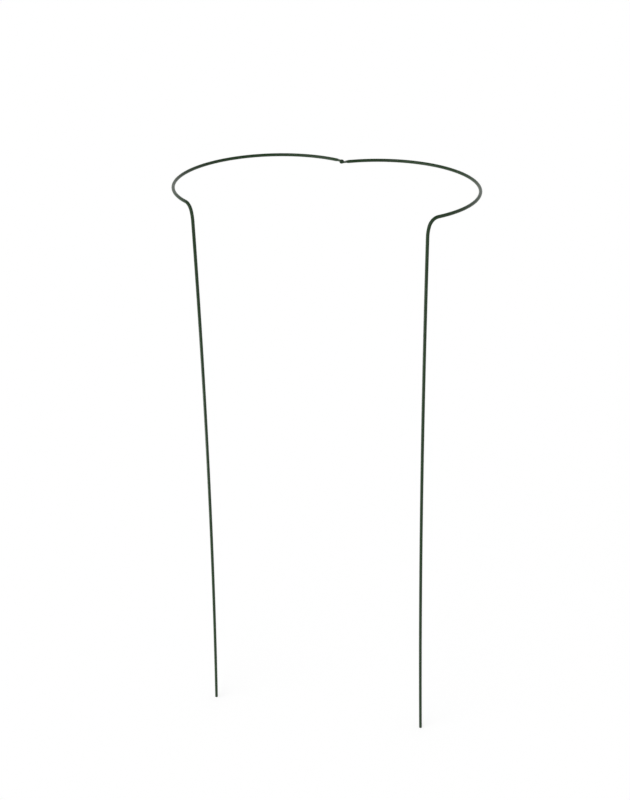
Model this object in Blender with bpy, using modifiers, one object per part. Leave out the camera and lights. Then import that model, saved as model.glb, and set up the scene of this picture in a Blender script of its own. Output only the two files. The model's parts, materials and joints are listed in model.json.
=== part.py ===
"""Hinged wire plant support.

Two mirrored wires, each a half hoop, a tight corner and a leg, are joined at the back of the
hoop by one rivet through their pressed ends. Metres, +Z up, the front of the hoop towards -Y.
The origin is on the ground, under the middle of the support as it stands half open.
"""

from math import atan2, cos, hypot, pi, radians, sin, sqrt, tan

import bmesh
import bpy
from mathutils import Matrix, Vector

# Hoop
RING_RADIUS = 0.145             # to the wire's centre line
ARC_SWEEP = radians(168.5)      # from the rivet to where the wire turns down
OPENING_ANGLE = radians(62.8)   # between the halves, 0 where they close to one ring

# Wire
WIRE_DIAMETER = 0.0048
CORNER_RADIUS = 0.015           # centre line of the bend from hoop to leg
CORNER_SWEEP = radians(72)      # turned at that radius
EASE_RADIUS = 0.045             # the rest of the quarter turn, where the wire sprang back
LEG_LENGTH = 0.8744             # from the end of the turn to the cut tip
LEG_SPLAY = radians(1.0)        # outwards, away from the hoop's centre
LEG_RAKE = radians(0.73)        # back along the hoop
LEG_BOW = 0.0055                # inwards at mid leg, the set that the wire keeps from its coil
TIP_CHAMFER = 0.0003

# Pressed ends
TAB_WIDTH = 0.0066
TAB_THICKNESS = 0.0018
TAB_LENGTH = 0.0060             # flat length from the hole's centre towards the hoop
TAPER_LENGTH = 0.0050           # from the flat to the full round wire

# Rivet
RIVET_SHANK_DIAMETER = 0.0030
RIVET_HEAD_DIAMETER = 0.0058
RIVET_HEAD_HEIGHT = 0.0012
RIVET_SET_DIAMETER = 0.0052
RIVET_SET_HEIGHT = 0.0010

# Finish: linear colour, roughness, metallic
WIRE_FINISH = ((0.011, 0.037, 0.012), 0.30, 0.0)
RIVET_FINISH = ((0.010, 0.030, 0.011), 0.30, 0.0)

# Clearances
LAP_CLEARANCE = 0.0002          # between the two pressed ends
HEAD_CLEARANCE = 0.0002         # between a pressed end and the rivet's head
HOLE_CLEARANCE = 0.00015        # all round the shank

# Facets
WIRE_BEVEL_RESOLUTION = 6       # 16 sides
ARC_STEP = radians(2.5)
CORNER_STEPS = 8
EASE_STEPS = 4
LEG_STEPS = 22
TAPER_STEPS = 8
TAB_END_STEP = radians(15)
TAB_END_LAST = radians(75)
TURN_STEPS = 48
HEAD_STEPS = 5

SHARP_ANGLE = radians(40)
MERGE_DISTANCE = 0.00001

DOWN = Vector((0.0, 0.0, -1.0))
WIRE_RADIUS = WIRE_DIAMETER / 2
TAB_RADIUS = TAB_WIDTH / 2
LAP = TAB_THICKNESS + LAP_CLEARANCE


# Scene and materials


def clear_scene():
    for item in list(bpy.data.objects):
        bpy.data.objects.remove(item, do_unlink=True)


def make_collection(name):
    collection = bpy.data.collections.new(name)
    bpy.context.scene.collection.children.link(collection)
    return collection


def make_material(name, finish):
    colour, roughness, metallic = finish
    material = bpy.data.materials.new(name)
    material.use_nodes = True
    shader = material.node_tree.nodes["Principled BSDF"]
    shader.inputs["Base Color"].default_value = (*colour, 1.0)
    shader.inputs["Roughness"].default_value = roughness
    shader.inputs["Metallic"].default_value = metallic
    material.diffuse_color = (*colour, 1.0)
    return material


# The wire's centre line, with the rivet's axis at x = y = 0


def hoop_point(angle, offset=0.0, height=0.0):
    """A point at an angle along the hoop, offset outwards from its centre line."""
    radius = RING_RADIUS + offset
    return Vector((radius * sin(angle), radius * cos(angle) - RING_RADIUS, height))


def along_hoop(distance):
    return distance / RING_RADIUS


def tab_end_angles():
    """Stations round the pressed end's rounded nose, from its tip to the hole's centre."""
    count = round(TAB_END_LAST / TAB_END_STEP)
    turns = [TAB_END_LAST * (count - step) / count for step in range(count + 1)]
    return [along_hoop(-TAB_RADIUS * sin(turn)) for turn in turns]


def hoop_angles():
    """Stations from the nose of the pressed end to the corner, closest where the wire tapers."""
    angles = tab_end_angles()
    angles += [
        along_hoop(TAB_LENGTH + TAPER_LENGTH * step / TAPER_STEPS)
        for step in range(TAPER_STEPS + 1)
    ]
    start = angles[-1]
    count = max(1, round((ARC_SWEEP - start) / ARC_STEP))
    angles += [start + (ARC_SWEEP - start) * step / count for step in range(1, count + 1)]
    return angles


def bend_points(start, forwards, radius, first, last, steps):
    """Points after start on a bend whose direction turns downwards from first to last."""
    points = []
    for step in range(1, steps + 1):
        turn = first + (last - first) * step / steps
        ahead = radius * (sin(turn) - sin(first))
        drop = radius * (cos(first) - cos(turn))
        points.append(start + ahead * forwards + drop * DOWN)
    return points


def centre_line():
    """Points of the right wire's centre line, from the pressed end to the leg's tip."""
    points = [hoop_point(angle) for angle in hoop_angles()]
    forwards = Vector((cos(ARC_SWEEP), -sin(ARC_SWEEP), 0.0))
    outwards = Vector((sin(ARC_SWEEP), cos(ARC_SWEEP), 0.0))
    points += bend_points(points[-1], forwards, CORNER_RADIUS, 0.0, CORNER_SWEEP, CORNER_STEPS)
    points += bend_points(points[-1], forwards, EASE_RADIUS, CORNER_SWEEP, pi / 2, EASE_STEPS)

    leg_top = points[-1]
    fractions = [step / LEG_STEPS for step in range(1, LEG_STEPS)]
    fractions += [1 - TIP_CHAMFER / LEG_LENGTH, 1.0]
    for fraction in fractions:
        drop = LEG_LENGTH * fraction
        bow = 4 * LEG_BOW * fraction * (1 - fraction)
        points.append(
            leg_top
            + drop * DOWN
            - drop * tan(LEG_RAKE) * forwards
            + (drop * tan(LEG_SPLAY) - bow) * outwards
        )
    return points


def hinge_place():
    """The rivet's middle, with the lower tip on the ground and the origin under the middle."""
    turn = Matrix.Rotation(OPENING_ANGLE / 2, 3, "Z")
    points = [turn @ point for point in centre_line()]
    depths = [point.y for point in points]
    lowest = min(point.z for point in points)
    return Vector((0.0, -(min(depths) + max(depths)) / 2, LAP / 2 - lowest))


HINGE = hinge_place()


# Wires


def curve_to_mesh_object(curve_object, name, collection):
    """The swept wire as one closed mesh, in the curve's place."""
    bpy.context.view_layer.update()
    depsgraph = bpy.context.evaluated_depsgraph_get()
    mesh = bpy.data.meshes.new_from_object(curve_object.evaluated_get(depsgraph))
    mesh.name = name
    cage = bmesh.new()
    cage.from_mesh(mesh)
    bmesh.ops.remove_doubles(cage, verts=cage.verts, dist=MERGE_DISTANCE)
    cage.to_mesh(mesh)
    cage.free()
    wire = bpy.data.objects.new(name, mesh)
    collection.objects.link(wire)
    wire.matrix_world = curve_object.matrix_world
    bpy.data.objects.remove(curve_object, do_unlink=True)
    return wire


def sweep_wire(name, collection):
    """The round wire along its centre line, before its end is pressed."""
    points = centre_line()
    curve = bpy.data.curves.new(f"{name}_path", "CURVE")
    curve.dimensions = "3D"
    curve.bevel_depth = WIRE_RADIUS
    curve.bevel_resolution = WIRE_BEVEL_RESOLUTION
    curve.use_fill_caps = True
    spline = curve.splines.new("POLY")
    spline.points.add(len(points) - 1)
    for spline_point, point in zip(spline.points, points):
        spline_point.co = (*point, 1.0)
    spline.points[-1].radius = 1 - TIP_CHAMFER / WIRE_RADIUS
    curve_object = bpy.data.objects.new(f"{name}_path", curve)
    collection.objects.link(curve_object)
    return curve_to_mesh_object(curve_object, name, collection)


def ease(fraction):
    fraction = min(max(fraction, 0.0), 1.0)
    return fraction * fraction * (3 - 2 * fraction)


def press_end(wire):
    """Flattens and widens the wire at the rivet, easing back to the round along the taper."""
    round_from = along_hoop(TAB_LENGTH + TAPER_LENGTH)
    for vertex in wire.data.vertices:
        spot = vertex.co
        angle = atan2(spot.x, spot.y + RING_RADIUS)
        if abs(angle) > round_from:
            continue
        radius = hypot(spot.x, spot.y + RING_RADIUS)
        distance = angle * RING_RADIUS
        amount = ease((distance - TAB_LENGTH) / TAPER_LENGTH)
        half_width = TAB_RADIUS + (WIRE_RADIUS - TAB_RADIUS) * amount
        half_height = TAB_THICKNESS / 2 * (1 - amount) + WIRE_RADIUS * amount
        if distance < 0:
            nose = min(-distance / TAB_RADIUS, 1.0)
            half_width *= sqrt(1 - nose * nose)
        offset = (radius - RING_RADIUS) / WIRE_RADIUS * half_width
        height = max(-half_height, min(half_height, spot.z))
        vertex.co = hoop_point(angle, offset, height)


def mirror_mesh(wire):
    """Turns the right wire into the left one."""
    cage = bmesh.new()
    cage.from_mesh(wire.data)
    bmesh.ops.transform(cage, matrix=Matrix.Scale(-1, 4, Vector((1, 0, 0))), verts=cage.verts)
    bmesh.ops.reverse_faces(cage, faces=cage.faces)
    cage.to_mesh(wire.data)
    cage.free()


def shade_round(item):
    item.data.shade_smooth()
    item.data.set_sharp_from_angle(angle=SHARP_ANGLE)


def make_wire(name, side, collection, material):
    """One half of the support, side +1 for the right and -1 for the left."""
    wire = sweep_wire(name, collection)
    press_end(wire)
    if side < 0:
        mirror_mesh(wire)
    wire.data.materials.append(material)
    shade_round(wire)
    wire.location = HINGE - Vector((0.0, 0.0, side * LAP / 2))
    wire.rotation_euler.z = side * OPENING_ANGLE / 2
    return wire


def cut_rivet_hole(wire, cutter):
    hole = wire.modifiers.new("rivet_hole", "BOOLEAN")
    hole.operation = "DIFFERENCE"
    hole.solver = "EXACT"
    hole.object = cutter


def make_hole_cutter(collection):
    """A drill on the rivet's axis, through both pressed ends."""
    mesh = bpy.data.meshes.new("hole_cutter")
    cage = bmesh.new()
    radius = RIVET_SHANK_DIAMETER / 2 + HOLE_CLEARANCE
    bmesh.ops.create_cone(
        cage,
        cap_ends=True,
        segments=TURN_STEPS,
        radius1=radius,
        radius2=radius,
        depth=4 * WIRE_DIAMETER,
    )
    cage.to_mesh(mesh)
    cage.free()
    cutter = bpy.data.objects.new("hole_cutter", mesh)
    collection.objects.link(cutter)
    cutter.location = HINGE
    cutter.hide_render = True
    cutter.display_type = "WIRE"
    return cutter


# Rivet


def dome(radius, height, base, direction):
    """Profile points of a domed head from its crown to its rim."""
    sphere = (radius * radius + height * height) / (2 * height)
    points = []
    for step in range(HEAD_STEPS + 1):
        across = radius * step / HEAD_STEPS
        rise = sqrt(sphere * sphere - across * across) - (sphere - height)
        points.append((across, base + direction * rise))
    return points


def make_rivet(name, collection, material):
    """A solid rivet, turned from its profile, with its set head below."""
    seat = LAP_CLEARANCE / 2 + TAB_THICKNESS + HEAD_CLEARANCE
    shank = RIVET_SHANK_DIAMETER / 2
    profile = dome(RIVET_HEAD_DIAMETER / 2, RIVET_HEAD_HEIGHT, seat, 1)
    profile += [(shank, seat), (shank, -seat)]
    profile += dome(RIVET_SET_DIAMETER / 2, RIVET_SET_HEIGHT, -seat, -1)[::-1]

    mesh = bpy.data.meshes.new(name)
    edges = [(index, index + 1) for index in range(len(profile) - 1)]
    mesh.from_pydata([(across, 0.0, height) for across, height in profile], edges, [])
    mesh.materials.append(material)
    rivet = bpy.data.objects.new(name, mesh)
    collection.objects.link(rivet)
    turn = rivet.modifiers.new("turn", "SCREW")
    turn.axis = "Z"
    turn.steps = TURN_STEPS
    turn.render_steps = TURN_STEPS
    turn.use_merge_vertices = True
    turn.merge_threshold = MERGE_DISTANCE
    turn.use_smooth_shade = True
    rivet.location = HINGE
    return rivet


def main():
    clear_scene()
    parts = make_collection("plant_support")
    cutters = make_collection("cutters")
    wire_coat = make_material("green_coated_wire", WIRE_FINISH)
    rivet_coat = make_material("green_coated_rivet", RIVET_FINISH)
    cutter = make_hole_cutter(cutters)
    for name, side in (("left_hoop_wire", -1), ("right_hoop_wire", 1)):
        cut_rivet_hole(make_wire(name, side, parts, wire_coat), cutter)
    make_rivet("hinge_rivet", parts, rivet_coat)


main()
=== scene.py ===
"""Looks of the hinged wire plant support.

Two coated wires are swept finely along the frame's own curves, from the pressed end at the rivet
round the half hoop, through the corner and down the leg to the cut tip. A turned rivet joins
them. Metres, +Z up.
"""

import json
from math import atan2, cos, pi, radians, sin, sqrt, tan

import bmesh
import bpy
from mathutils import Matrix, Vector


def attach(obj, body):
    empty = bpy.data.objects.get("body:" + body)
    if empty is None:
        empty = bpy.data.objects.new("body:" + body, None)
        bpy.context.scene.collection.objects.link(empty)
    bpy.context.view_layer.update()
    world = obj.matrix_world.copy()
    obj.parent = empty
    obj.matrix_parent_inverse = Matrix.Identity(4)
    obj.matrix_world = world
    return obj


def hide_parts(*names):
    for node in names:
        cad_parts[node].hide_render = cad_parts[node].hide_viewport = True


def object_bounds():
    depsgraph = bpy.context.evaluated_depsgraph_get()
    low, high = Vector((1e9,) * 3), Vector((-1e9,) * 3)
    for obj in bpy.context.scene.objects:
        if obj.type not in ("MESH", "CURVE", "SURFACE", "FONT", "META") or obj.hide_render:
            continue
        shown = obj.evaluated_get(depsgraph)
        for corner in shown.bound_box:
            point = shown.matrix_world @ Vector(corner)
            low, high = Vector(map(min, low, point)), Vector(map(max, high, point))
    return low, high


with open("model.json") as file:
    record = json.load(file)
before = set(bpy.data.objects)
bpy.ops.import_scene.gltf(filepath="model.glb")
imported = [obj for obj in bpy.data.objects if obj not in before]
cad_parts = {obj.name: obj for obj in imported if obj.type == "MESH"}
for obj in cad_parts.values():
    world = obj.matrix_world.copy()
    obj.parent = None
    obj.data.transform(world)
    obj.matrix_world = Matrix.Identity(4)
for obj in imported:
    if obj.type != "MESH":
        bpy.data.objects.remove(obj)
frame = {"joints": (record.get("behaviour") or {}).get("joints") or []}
cad_low, cad_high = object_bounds()
hinge = Vector(frame["joints"][0]["pos_m"])

UP = Vector((0.0, 0.0, 1.0))
DOWN = Vector((0.0, 0.0, -1.0))

# The frame's sizes
RING_RADIUS = 0.145
ARC_SWEEP = radians(168.5)
OPENING_ANGLE = radians(62.8)
WIRE_RADIUS = 0.0024
CORNER_RADIUS = 0.015
CORNER_SWEEP = radians(72)
EASE_RADIUS = 0.045
LEG_LENGTH = 0.8744
LEG_SPLAY = radians(1.0)
LEG_RAKE = radians(0.73)
LEG_BOW = 0.0055
TAB_RADIUS = 0.0033
TAB_THICKNESS = 0.0018
TAB_LENGTH = 0.0060
TAPER_LENGTH = 0.0050
LAP = 0.0020
HEAD_CLEARANCE = 0.0002
HOLE_RADIUS = 0.00165
SHANK_RADIUS = 0.0015
HEAD_RADIUS = 0.0029
HEAD_HEIGHT = 0.0012
SET_RADIUS = 0.0026
SET_HEIGHT = 0.0010

# How square a section is: 2 is an ellipse, and more is a flatter top with tighter edges
PRESSED_SQUARENESS = 8.0
ROUND_SQUARENESS = 2.0
EDGE_EASING = 0.6

# The taper's sides start this much nearer the rivet than the frame's, which leaves each of them
# 0.13 mm further in at most. The two shoulders first touch 0.95 degrees past the opening limit.
SIDE_LEAD = 0.0005

# Rings and sides of the fine surface
WIRE_SIDES = 40
NOSE_STEPS = 12
NOSE_LAST = radians(86)
TAB_STEPS = 12
TAPER_STEPS = 20
HOOP_STEP = radians(1.0)
CORNER_STEPS = 24
EASE_STEPS = 8
LEG_STEPS = 120
TURN_STEPS = 72
SHARP_ANGLE = radians(50)
TANGENT_STEP = 0.001
DRILL_DEPTH = 4 * TAB_THICKNESS

# Rims. The head's rim is points of (distance in, distance up), as shares of the rounding
RIM_ROUNDING = 0.00025
TIP_RIM_DEGREES = (0.0, 30.0, 60.0, 90.0)
HEAD_RIM = ((0.2, 1.0), (0.0, 0.5), (0.3, 0.0))

# Rivet heads. A crown under 1 is a dome that was flattened as the rivet was set
HEAD_STEPS = 12
HEAD_CROWN = 1.0
SET_CROWN = 0.9
SET_SWELL = 0.03
SET_LOBES = 3
SET_TURN = 0.6

# Wear
TIP_WEAR = 0.0015
HEAD_WEAR = 0.0006
HEAD_RUB = 0.6

# Coating: noise scales, bump heights in metres, dust, chips and gloss
NOISE_LOW, NOISE_HIGH = 0.3, 0.7
BROAD_SCALE, BROAD_HEIGHT = 24.0, 0.00008
PEEL_SCALE, PEEL_HEIGHT = 800.0, 0.00004
PIT_SCALE, PIT_HEIGHT = 2600.0, 0.000005
CLOUD_SCALE = 180.0
FLAKE_SCALE = 1700.0
DUST_LOW, DUST_HIGH = 0.45, 0.75
DUST_MOST = 0.10
DUST_COLOUR = (0.085, 0.095, 0.080)
CHIP_START, CHIP_FULL = 0.86, 0.89
CHIP_RUB = 0.5
CHIP_METALLIC = 0.8
COAT_SMOOTH, COAT_ROUGH = 0.24, 0.36
COAT_GLOSS = 0.25

# Cut steel
TEAR_STRETCH = (1.0, 9.0, 1.0)
TEAR_SCALE, TEAR_HEIGHT = 420.0, 0.00006
STAIN_SCALE = 700.0
STAIN_LOW, STAIN_HIGH = 0.35, 0.7
STEEL_COLOUR = (0.33, 0.32, 0.31)
STAIN_COLOUR = (0.17, 0.15, 0.13)
STEEL_METALLIC = 0.9
STEEL_SMOOTH, STEEL_ROUGH = 0.35, 0.6

# Studio. The walls dim from WALL_TOP upwards. The floor's shown colour and its glow add up to
# white where no shadow falls
WALL_TOP = 0.35
PAPER_LEVEL = 0.70
SHOWN_LEVEL = 0.42
FLOOR_GLOW = 0.712

# Camera, worked out from the photograph's perspective
CAMERA_PLACE = Vector((0.3097, -1.4783, 1.3618))
CAMERA_YAW = 0.2215
CAMERA_PITCH = 0.4960
CAMERA_ROLL = -0.0174
CAMERA_LENS = 48.33
CAMERA_SENSOR = 36.0
CAMERA_REACH = 100.0


# Camera, floor and lights


def make_camera():
    data = bpy.data.cameras.new("photo_camera")
    data.lens = CAMERA_LENS
    data.sensor_width = CAMERA_SENSOR
    data.sensor_fit = "AUTO"
    data.clip_end = CAMERA_REACH
    camera = bpy.data.objects.new("photo_camera", data)
    bpy.context.scene.collection.objects.link(camera)
    turn = (
        Matrix.Rotation(CAMERA_YAW, 4, "Z")
        @ Matrix.Rotation(pi / 2 - CAMERA_PITCH, 4, "X")
        @ Matrix.Rotation(CAMERA_ROLL, 4, "Z")
    )
    camera.matrix_world = Matrix.Translation(CAMERA_PLACE) @ turn
    bpy.context.scene.camera = camera


def mirrored(tree, path):
    """1 on rays that a mirror or glass sends on, so that it shows the white studio too."""
    return math_node(
        tree, "MAXIMUM", path.outputs["Is Glossy Ray"], path.outputs["Is Transmission Ray"]
    )


def make_world(ambient, ceiling):
    """White walls, dimmer towards the ceiling. ambient is how strongly they light the object."""
    world = bpy.data.worlds.new("studio")
    bpy.context.scene.world = world
    world.use_nodes = True
    tree = world.node_tree
    background = tree.nodes["Background"]
    background.inputs["Color"].default_value = (1.0, 1.0, 1.0, 1.0)
    direction = tree.nodes.new("ShaderNodeSeparateXYZ")
    place = tree.nodes.new("ShaderNodeTexCoord")
    tree.links.new(place.outputs["Generated"], direction.inputs["Vector"])
    path = tree.nodes.new("ShaderNodeLightPath")
    wall = range_node(tree, direction.outputs["Z"], WALL_TOP, 1.0, 1.0, ceiling)
    level = range_node(tree, mirrored(tree, path), 0.0, 1.0, ambient, 1.0)
    lit = math_node(tree, "MULTIPLY", wall, level)
    strength = math_node(tree, "MAXIMUM", path.outputs["Is Camera Ray"], lit)
    tree.links.new(strength, background.inputs["Strength"])


def matt_paper(tree, level):
    paper = tree.nodes.new("ShaderNodeBsdfDiffuse")
    paper.inputs["Color"].default_value = (level, level, level, 1.0)
    return paper


def floor_material():
    """White paper that keeps the object's shadow and shows white around it."""
    material = bpy.data.materials.new("studio_floor")
    material.use_nodes = True
    tree = material.node_tree
    tree.nodes.clear()
    paper = matt_paper(tree, PAPER_LEVEL)
    shown = matt_paper(tree, SHOWN_LEVEL)
    glow = tree.nodes.new("ShaderNodeEmission")
    glow.inputs["Strength"].default_value = FLOOR_GLOW
    lifted = tree.nodes.new("ShaderNodeAddShader")
    tree.links.new(shown.outputs[0], lifted.inputs[0])
    tree.links.new(glow.outputs[0], lifted.inputs[1])
    path = tree.nodes.new("ShaderNodeLightPath")
    seen = math_node(tree, "MAXIMUM", path.outputs["Is Camera Ray"], mirrored(tree, path))
    pick = tree.nodes.new("ShaderNodeMixShader")
    tree.links.new(seen, pick.inputs["Fac"])
    tree.links.new(paper.outputs[0], pick.inputs[1])
    tree.links.new(lifted.outputs[0], pick.inputs[2])
    output = tree.nodes.new("ShaderNodeOutputMaterial")
    tree.links.new(pick.outputs[0], output.inputs["Surface"])
    return material


def make_floor(half_width):
    mesh = bpy.data.meshes.new("floor")
    sheet = bmesh.new()
    bmesh.ops.create_grid(sheet, x_segments=1, y_segments=1, size=half_width)
    sheet.to_mesh(mesh)
    sheet.free()
    floor = bpy.data.objects.new("floor", mesh)
    bpy.context.scene.collection.objects.link(floor)
    floor.location.z = cad_low.z
    mesh.materials.append(floor_material())


def aim_light(data, place, aim):
    light = bpy.data.objects.new(data.name, data)
    bpy.context.scene.collection.objects.link(light)
    light.location = place
    light.rotation_euler = (Vector(aim) - Vector(place)).to_track_quat("-Z", "Y").to_euler()
    return light


def make_soft_light(place, strength, spread):
    """A broad light from the front left, even over the whole floor."""
    data = bpy.data.lights.new("soft_light", "SUN")
    data.energy = strength
    data.angle = spread
    aim_light(data, place, (0.0, 0.0, 0.0))


def make_low_fill(place, aim, size, power, pieces):
    """A soft light near the floor, which lightens the middle of the left leg and not the floor."""
    data = bpy.data.lights.new("low_fill", "AREA")
    data.shape = "DISK"
    data.size = size
    data.energy = power
    light = aim_light(data, place, aim)
    light.visible_camera = False
    lit = bpy.data.collections.new("lit_by_low_fill")
    for piece in pieces:
        lit.objects.link(piece)
    light.light_linking.receiver_collection = lit


# Materials


def new_material(name):
    material = bpy.data.materials.new(name)
    material.use_nodes = True
    return material, material.node_tree, material.node_tree.nodes["Principled BSDF"]


def noise_node(tree, place, scale, detail=3.0, roughness=0.5):
    node = tree.nodes.new("ShaderNodeTexNoise")
    node.inputs["Scale"].default_value = scale
    node.inputs["Detail"].default_value = detail
    node.inputs["Roughness"].default_value = roughness
    tree.links.new(place, node.inputs["Vector"])
    return node.outputs["Fac"]


def range_node(tree, value, low, high, to_low, to_high):
    node = tree.nodes.new("ShaderNodeMapRange")
    node.inputs["From Min"].default_value = low
    node.inputs["From Max"].default_value = high
    node.inputs["To Min"].default_value = to_low
    node.inputs["To Max"].default_value = to_high
    tree.links.new(value, node.inputs["Value"])
    return node.outputs["Result"]


def mix_colour(tree, factor, first, second):
    node = tree.nodes.new("ShaderNodeMix")
    node.data_type = "RGBA"
    tree.links.new(factor, node.inputs["Factor"])
    for socket, colour in ((node.inputs["A"], first), (node.inputs["B"], second)):
        if isinstance(colour, tuple):
            socket.default_value = (*colour, 1.0)
        else:
            tree.links.new(colour, socket)
    return node.outputs["Result"]


def math_node(tree, operation, first, second):
    node = tree.nodes.new("ShaderNodeMath")
    node.operation = operation
    tree.links.new(first, node.inputs[0])
    if isinstance(second, float):
        node.inputs[1].default_value = second
    else:
        tree.links.new(second, node.inputs[1])
    return node.outputs[0]


def bump(tree, shader, heights):
    """Stacks bumps of (height, distance in metres) on one another."""
    last = None
    for height, distance in heights:
        node = tree.nodes.new("ShaderNodeBump")
        node.inputs["Strength"].default_value = 1.0
        node.inputs["Distance"].default_value = distance
        tree.links.new(height, node.inputs["Height"])
        if last:
            tree.links.new(last, node.inputs["Normal"])
        last = node.outputs["Normal"]
    tree.links.new(last, shader.inputs["Normal"])


def coated_material(name, deep, light, bare):
    """Dark green satin coating with a fine orange peel, chipped to steel where it wears."""
    material, tree, shader = new_material(name)
    place = tree.nodes.new("ShaderNodeTexCoord").outputs["Object"]
    broad = noise_node(tree, place, BROAD_SCALE)
    cloud = noise_node(tree, place, CLOUD_SCALE, detail=4.0)
    peel = noise_node(tree, place, PEEL_SCALE, detail=2.0)
    pits = noise_node(tree, place, PIT_SCALE, detail=2.0, roughness=0.6)
    flakes = noise_node(tree, place, FLAKE_SCALE, detail=4.0, roughness=0.6)

    shade = range_node(tree, broad, NOISE_LOW, NOISE_HIGH, 0.0, 1.0)
    tone = mix_colour(tree, shade, deep, light)
    dust = range_node(tree, cloud, DUST_LOW, DUST_HIGH, 0.0, DUST_MOST)
    dusty = mix_colour(tree, dust, tone, DUST_COLOUR)

    rub = tree.nodes.new("ShaderNodeAttribute")
    rub.attribute_name = "rub"
    wear = math_node(tree, "MULTIPLY", rub.outputs["Fac"], CHIP_RUB)
    loosened = math_node(tree, "ADD", flakes, wear)
    chipped = range_node(tree, loosened, CHIP_START, CHIP_FULL, 0.0, 1.0)
    colour = mix_colour(tree, chipped, dusty, bare)
    metal = math_node(tree, "MULTIPLY", chipped, CHIP_METALLIC)
    satin = range_node(tree, cloud, NOISE_LOW, NOISE_HIGH, COAT_SMOOTH, COAT_ROUGH)
    tree.links.new(colour, shader.inputs["Base Color"])
    tree.links.new(metal, shader.inputs["Metallic"])
    tree.links.new(satin, shader.inputs["Roughness"])
    shader.inputs["Specular IOR Level"].default_value = COAT_GLOSS
    bump(tree, shader, ((broad, BROAD_HEIGHT), (peel, PEEL_HEIGHT), (pits, PIT_HEIGHT)))
    return material


def steel_material(name):
    """Sheared steel at the cut tips, with the shear's parallel tears."""
    material, tree, shader = new_material(name)
    place = tree.nodes.new("ShaderNodeTexCoord").outputs["Object"]
    stretch = tree.nodes.new("ShaderNodeMapping")
    stretch.inputs["Scale"].default_value = TEAR_STRETCH
    tree.links.new(place, stretch.inputs["Vector"])
    tears = noise_node(tree, stretch.outputs["Vector"], TEAR_SCALE, detail=4.0)
    stain = noise_node(tree, place, STAIN_SCALE)
    stained = range_node(tree, stain, STAIN_LOW, STAIN_HIGH, 0.0, 1.0)
    colour = mix_colour(tree, stained, STEEL_COLOUR, STAIN_COLOUR)
    torn = range_node(tree, tears, NOISE_LOW, NOISE_HIGH, STEEL_SMOOTH, STEEL_ROUGH)
    tree.links.new(colour, shader.inputs["Base Color"])
    shader.inputs["Metallic"].default_value = STEEL_METALLIC
    tree.links.new(torn, shader.inputs["Roughness"])
    bump(tree, shader, ((tears, TEAR_HEIGHT),))
    return material


# The wire's path, on the closed ring, with the rivet's axis at x = y = 0


def hoop_outwards(angle):
    return Vector((sin(angle), cos(angle), 0.0))


def hoop_forwards(angle):
    return Vector((cos(angle), -sin(angle), 0.0))


def hoop_centre(angle):
    return RING_RADIUS * (hoop_outwards(angle) - Vector((0.0, 1.0, 0.0)))


def ease(fraction):
    """Runs from 0 to 1 with no corner at either end."""
    fraction = min(max(fraction, 0.0), 1.0)
    return fraction * fraction * (3 - 2 * fraction)


def mix(first, second, amount):
    return first + (second - first) * amount


def section(centre, across, up, half_width, half_height, squareness, nose=0.0):
    """One ring of points round the wire. nose is how far the ring is into the rounded end.

    It never stands above the round wire that was pressed flat, as in the frame.
    """
    ring = []
    for side in range(WIRE_SIDES):
        turn = 2 * pi * side / WIRE_SIDES
        reach = half_width * cos(turn)
        spread = abs(cos(turn))
        if nose:
            spread = min(sqrt((reach / TAB_RADIUS) ** 2 + nose**2), 1.0)
        pressed = half_height * (1 - spread**squareness) ** (1 / squareness)
        rise = min(pressed, WIRE_RADIUS * sqrt(1 - spread * spread))
        if sin(turn) < 0:
            rise = -rise
        ring.append(centre + reach * across + rise * up)
    return ring


def pressed_section(distance):
    """A ring on the hoop, pressed flat near the rivet."""
    angle = distance / RING_RADIUS
    amount = ease((distance - TAB_LENGTH) / TAPER_LENGTH)
    drawn_in = ease((distance - TAB_LENGTH + SIDE_LEAD) / TAPER_LENGTH)
    half_width = mix(TAB_RADIUS, WIRE_RADIUS, drawn_in)
    half_height = mix(TAB_THICKNESS / 2, WIRE_RADIUS, amount)
    squareness = mix(PRESSED_SQUARENESS, ROUND_SQUARENESS, amount**EDGE_EASING)
    nose = 0.0
    if distance < 0:
        nose = -distance / TAB_RADIUS
        half_width *= sqrt(1 - nose * nose)
    return section(
        hoop_centre(angle), hoop_outwards(angle), UP, half_width, half_height, squareness, nose
    )


def hoop_sections():
    """Rings from the rounded end past the rivet, along the tab and the taper, round the hoop."""
    distances = [
        -TAB_RADIUS * sin(NOSE_LAST * (1 - step / NOSE_STEPS)) for step in range(NOSE_STEPS + 1)
    ]
    distances += [TAB_LENGTH * step / TAB_STEPS for step in range(1, TAB_STEPS)]
    distances += [TAB_LENGTH + TAPER_LENGTH * step / TAPER_STEPS for step in range(TAPER_STEPS + 1)]
    start = distances[-1]
    length = RING_RADIUS * ARC_SWEEP - start
    count = round(length / (RING_RADIUS * HOOP_STEP))
    distances += [start + length * step / count for step in range(1, count + 1)]
    return [pressed_section(distance) for distance in distances]


def corner_point(turn):
    """The centre line's point where the bend has turned so far down, on its two radii."""
    tight, eased = min(turn, CORNER_SWEEP), max(turn, CORNER_SWEEP)
    ahead = CORNER_RADIUS * sin(tight) + EASE_RADIUS * (sin(eased) - sin(CORNER_SWEEP))
    drop = CORNER_RADIUS * (1 - cos(tight)) + EASE_RADIUS * (cos(CORNER_SWEEP) - cos(eased))
    return hoop_centre(ARC_SWEEP) + ahead * hoop_forwards(ARC_SWEEP) + drop * DOWN


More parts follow.
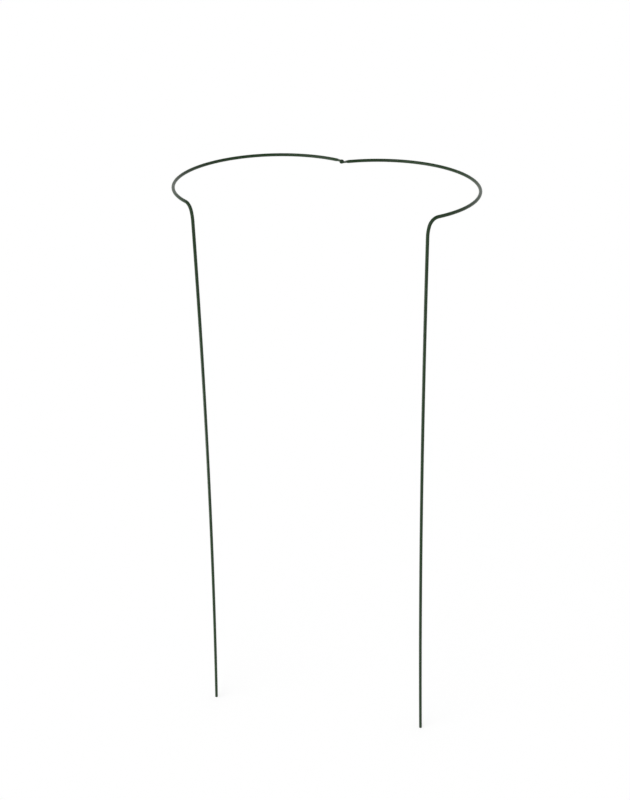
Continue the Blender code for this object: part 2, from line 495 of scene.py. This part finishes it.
def corner_sections():
    outwards, forwards = hoop_outwards(ARC_SWEEP), hoop_forwards(ARC_SWEEP)
    turns = [CORNER_SWEEP * step / CORNER_STEPS for step in range(1, CORNER_STEPS + 1)]
    rest = pi / 2 - CORNER_SWEEP
    turns += [CORNER_SWEEP + rest * step / EASE_STEPS for step in range(1, EASE_STEPS + 1)]
    rings = []
    for turn in turns:
        up = sin(turn) * forwards - cos(turn) * DOWN
        centre = corner_point(turn)
        rings.append(section(centre, outwards, up, WIRE_RADIUS, WIRE_RADIUS, ROUND_SQUARENESS))
    return rings


def leg_point(fraction):
    """A point down the leg's centre line, which bows by LEG_BOW at its middle."""
    drop = LEG_LENGTH * fraction
    bow = 4 * LEG_BOW * fraction * (1 - fraction)
    return (
        corner_point(pi / 2)
        + drop * DOWN
        - drop * tan(LEG_RAKE) * hoop_forwards(ARC_SWEEP)
        + (drop * tan(LEG_SPLAY) - bow) * hoop_outwards(ARC_SWEEP)
    )


def leg_section(fraction, radius):
    ahead, behind = leg_point(fraction + TANGENT_STEP), leg_point(fraction - TANGENT_STEP)
    tangent = (ahead - behind).normalized()
    across = hoop_outwards(ARC_SWEEP)
    across = (across - across.dot(tangent) * tangent).normalized()
    up = tangent.cross(across)
    if up.dot(hoop_forwards(ARC_SWEEP)) < 0:
        up = -up
    return section(leg_point(fraction), across, up, radius, radius, ROUND_SQUARENESS)


def leg_sections():
    """Rings down the leg, with the tip's rim rounded over the coating."""
    rings = [leg_section(step / LEG_STEPS, WIRE_RADIUS) for step in range(1, LEG_STEPS)]
    rings.append(leg_section(1 - TIP_WEAR / LEG_LENGTH, WIRE_RADIUS))
    for degrees in TIP_RIM_DEGREES:
        back = RIM_ROUNDING * (1 - sin(radians(degrees)))
        inset = RIM_ROUNDING * (1 - cos(radians(degrees)))
        rings.append(leg_section(1 - back / LEG_LENGTH, WIRE_RADIUS - inset))
    return rings


# Pieces


def link_mesh(name, cage):
    mesh = bpy.data.meshes.new(name)
    cage.to_mesh(mesh)
    cage.free()
    piece = bpy.data.objects.new(name, mesh)
    bpy.context.scene.collection.objects.link(piece)
    mesh.shade_smooth()
    return piece


def join_rings(cage, rings):
    """Faces from each ring of points to the next. A pole is a ring that repeats its one point."""
    for first, second in zip(rings, rings[1:]):
        for index in range(len(first)):
            follow = (index + 1) % len(first)
            corners = (first[index], first[follow], second[follow], second[index])
            cage.faces.new(list(dict.fromkeys(corners)))


def skin(rings, side):
    """A closed skin over the rings, mirrored for the left wire. The tip takes the second slot."""
    cage = bmesh.new()
    grown = [
        [cage.verts.new(Vector((side * point.x, point.y, point.z))) for point in ring]
        for ring in rings
    ]
    join_rings(cage, grown)
    cage.faces.new(grown[0])
    tip = cage.faces.new(grown[-1])
    tip.material_index = 1
    bmesh.ops.recalc_face_normals(cage, faces=cage.faces)
    return cage


def drill_hole(piece):
    """Cuts the rivet's hole through the pressed end.

    The piece has its materials by then, because the cut resets the faces' slots without them.
    """
    cage = bmesh.new()
    bmesh.ops.create_cone(
        cage,
        cap_ends=True,
        segments=TURN_STEPS,
        radius1=HOLE_RADIUS,
        radius2=HOLE_RADIUS,
        depth=DRILL_DEPTH,
    )
    drill = link_mesh("drill", cage)
    cut = piece.modifiers.new("hole", "BOOLEAN")
    cut.operation = "DIFFERENCE"
    cut.solver = "EXACT"
    cut.object = drill
    bpy.context.view_layer.update()
    depsgraph = bpy.context.evaluated_depsgraph_get()
    mesh = bpy.data.meshes.new_from_object(piece.evaluated_get(depsgraph))
    piece.modifiers.clear()
    piece.data = mesh
    bpy.data.objects.remove(drill)


def mark_rubbed(piece, amount_at):
    """Stores how far each point's coating is rubbed, from 0 to 1."""
    layer = piece.data.attributes.new("rub", "FLOAT", "POINT")
    for vertex, value in zip(piece.data.vertices, layer.data):
        value.value = min(max(amount_at(vertex.co), 0.0), 1.0)


def head_rub(spot):
    """Rubbed along the rim of the rivet's heads."""
    from_rim = abs(Vector((spot.x, spot.y)).length - HEAD_RADIUS)
    return HEAD_RUB * (1 - from_rim / HEAD_WEAR)


def wire_rub(spot):
    """Rubbed round the rivet's heads and at the leg's tip."""
    above_tip = (spot - leg_point(1.0)).z
    return max(head_rub(spot), 1 - above_tip / TIP_WEAR)


def make_wire(name, side, body, node, coat, steel):
    """One half of the support, side +1 for the right and -1 for the left."""
    wire = link_mesh(name, skin(hoop_sections() + corner_sections() + leg_sections(), side))
    wire.data.materials.append(coat)
    wire.data.materials.append(steel)
    drill_hole(wire)
    wire.data.set_sharp_from_angle(angle=SHARP_ANGLE)
    mark_rubbed(wire, wire_rub)
    place = Matrix.Translation(hinge + side * LAP / 2 * DOWN)
    wire.data.transform(place @ Matrix.Rotation(side * OPENING_ANGLE / 2, 4, "Z"))
    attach(wire, body)
    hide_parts(node)
    return wire


def head_profile(radius, height, base, crown):
    """A domed head from its axis to its rounded rim, then in under the head."""
    sphere = (radius * radius + height * height) / (2 * height)
    points = []
    for step in range(HEAD_STEPS + 1):
        across = (radius - RIM_ROUNDING) * step / HEAD_STEPS
        rise = min(sqrt(sphere * sphere - across * across) - (sphere - height), crown * height)
        points.append(Vector((across, base + rise)))
    for inset, rise in HEAD_RIM:
        points.append(Vector((radius - RIM_ROUNDING * inset, base + RIM_ROUNDING * rise)))
    return points


def turn_rivet(profile):
    """A closed solid about the rivet's axis, from a profile that starts and ends on the axis."""
    cage = bmesh.new()
    turns = [2 * pi * side / TURN_STEPS for side in range(TURN_STEPS)]
    rings = []
    for out, up in profile:
        if out > 0:
            ring = [cage.verts.new((out * cos(turn), out * sin(turn), up)) for turn in turns]
        else:
            ring = [cage.verts.new((0.0, 0.0, up))] * TURN_STEPS
        rings.append(ring)
    join_rings(cage, rings)
    bmesh.ops.recalc_face_normals(cage, faces=cage.faces)
    return cage


def make_rivet(name, body, node, coat):
    """The domed head above, the shank, and the set head below, a little uneven from its setting."""
    seat = LAP / 2 + TAB_THICKNESS / 2 + HEAD_CLEARANCE
    upper = head_profile(HEAD_RADIUS, HEAD_HEIGHT, seat, HEAD_CROWN)
    lower = head_profile(SET_RADIUS, SET_HEIGHT, seat, SET_CROWN)
    profile = upper + [Vector((SHANK_RADIUS, seat)), Vector((SHANK_RADIUS, -seat))]
    profile += [Vector((point.x, -point.y)) for point in reversed(lower)]

    cage = turn_rivet(profile)
    for vertex in cage.verts:
        if vertex.co.z < -seat:
            around = atan2(vertex.co.y, vertex.co.x)
            swell = 1 + SET_SWELL * sin(SET_LOBES * around + SET_TURN)
            vertex.co.x *= swell
            vertex.co.y *= swell
    rivet = link_mesh(name, cage)
    rivet.data.materials.append(coat)
    rivet.data.set_sharp_from_angle(angle=SHARP_ANGLE)
    mark_rubbed(rivet, head_rub)
    rivet.data.transform(Matrix.Translation(hinge))
    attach(rivet, body)
    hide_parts(node)


# The scene

make_camera()
make_world(ambient=0.80, ceiling=0.15)
make_floor(half_width=20.0)
make_soft_light(place=(-1.2, -2.0, 1.8), strength=1.2, spread=radians(60))

wire_coat = coated_material(
    "coated_wire",
    deep=(0.007, 0.028, 0.005),
    light=(0.011, 0.039, 0.009),
    bare=(0.28, 0.28, 0.27),
)
rivet_coat = coated_material(
    "coated_rivet",
    deep=(0.006, 0.022, 0.005),
    light=(0.010, 0.031, 0.008),
    bare=(0.24, 0.24, 0.23),
)
cut_steel = steel_material("cut_steel")
left = make_wire("left_wire", -1, "left_half", "left_hoop_wire", wire_coat, cut_steel)
right = make_wire("right_wire", 1, "right_half", "right_hoop_wire", wire_coat, cut_steel)
make_rivet("rivet", "left_half", "hinge_rivet", rivet_coat)
make_low_fill(
    place=(-0.80, -0.42, 0.10),
    aim=(-0.18, -0.13, 0.05),
    size=0.6,
    power=6.5,
    pieces=(left, right),
)

bpy.context.scene.view_settings.view_transform = "Standard"
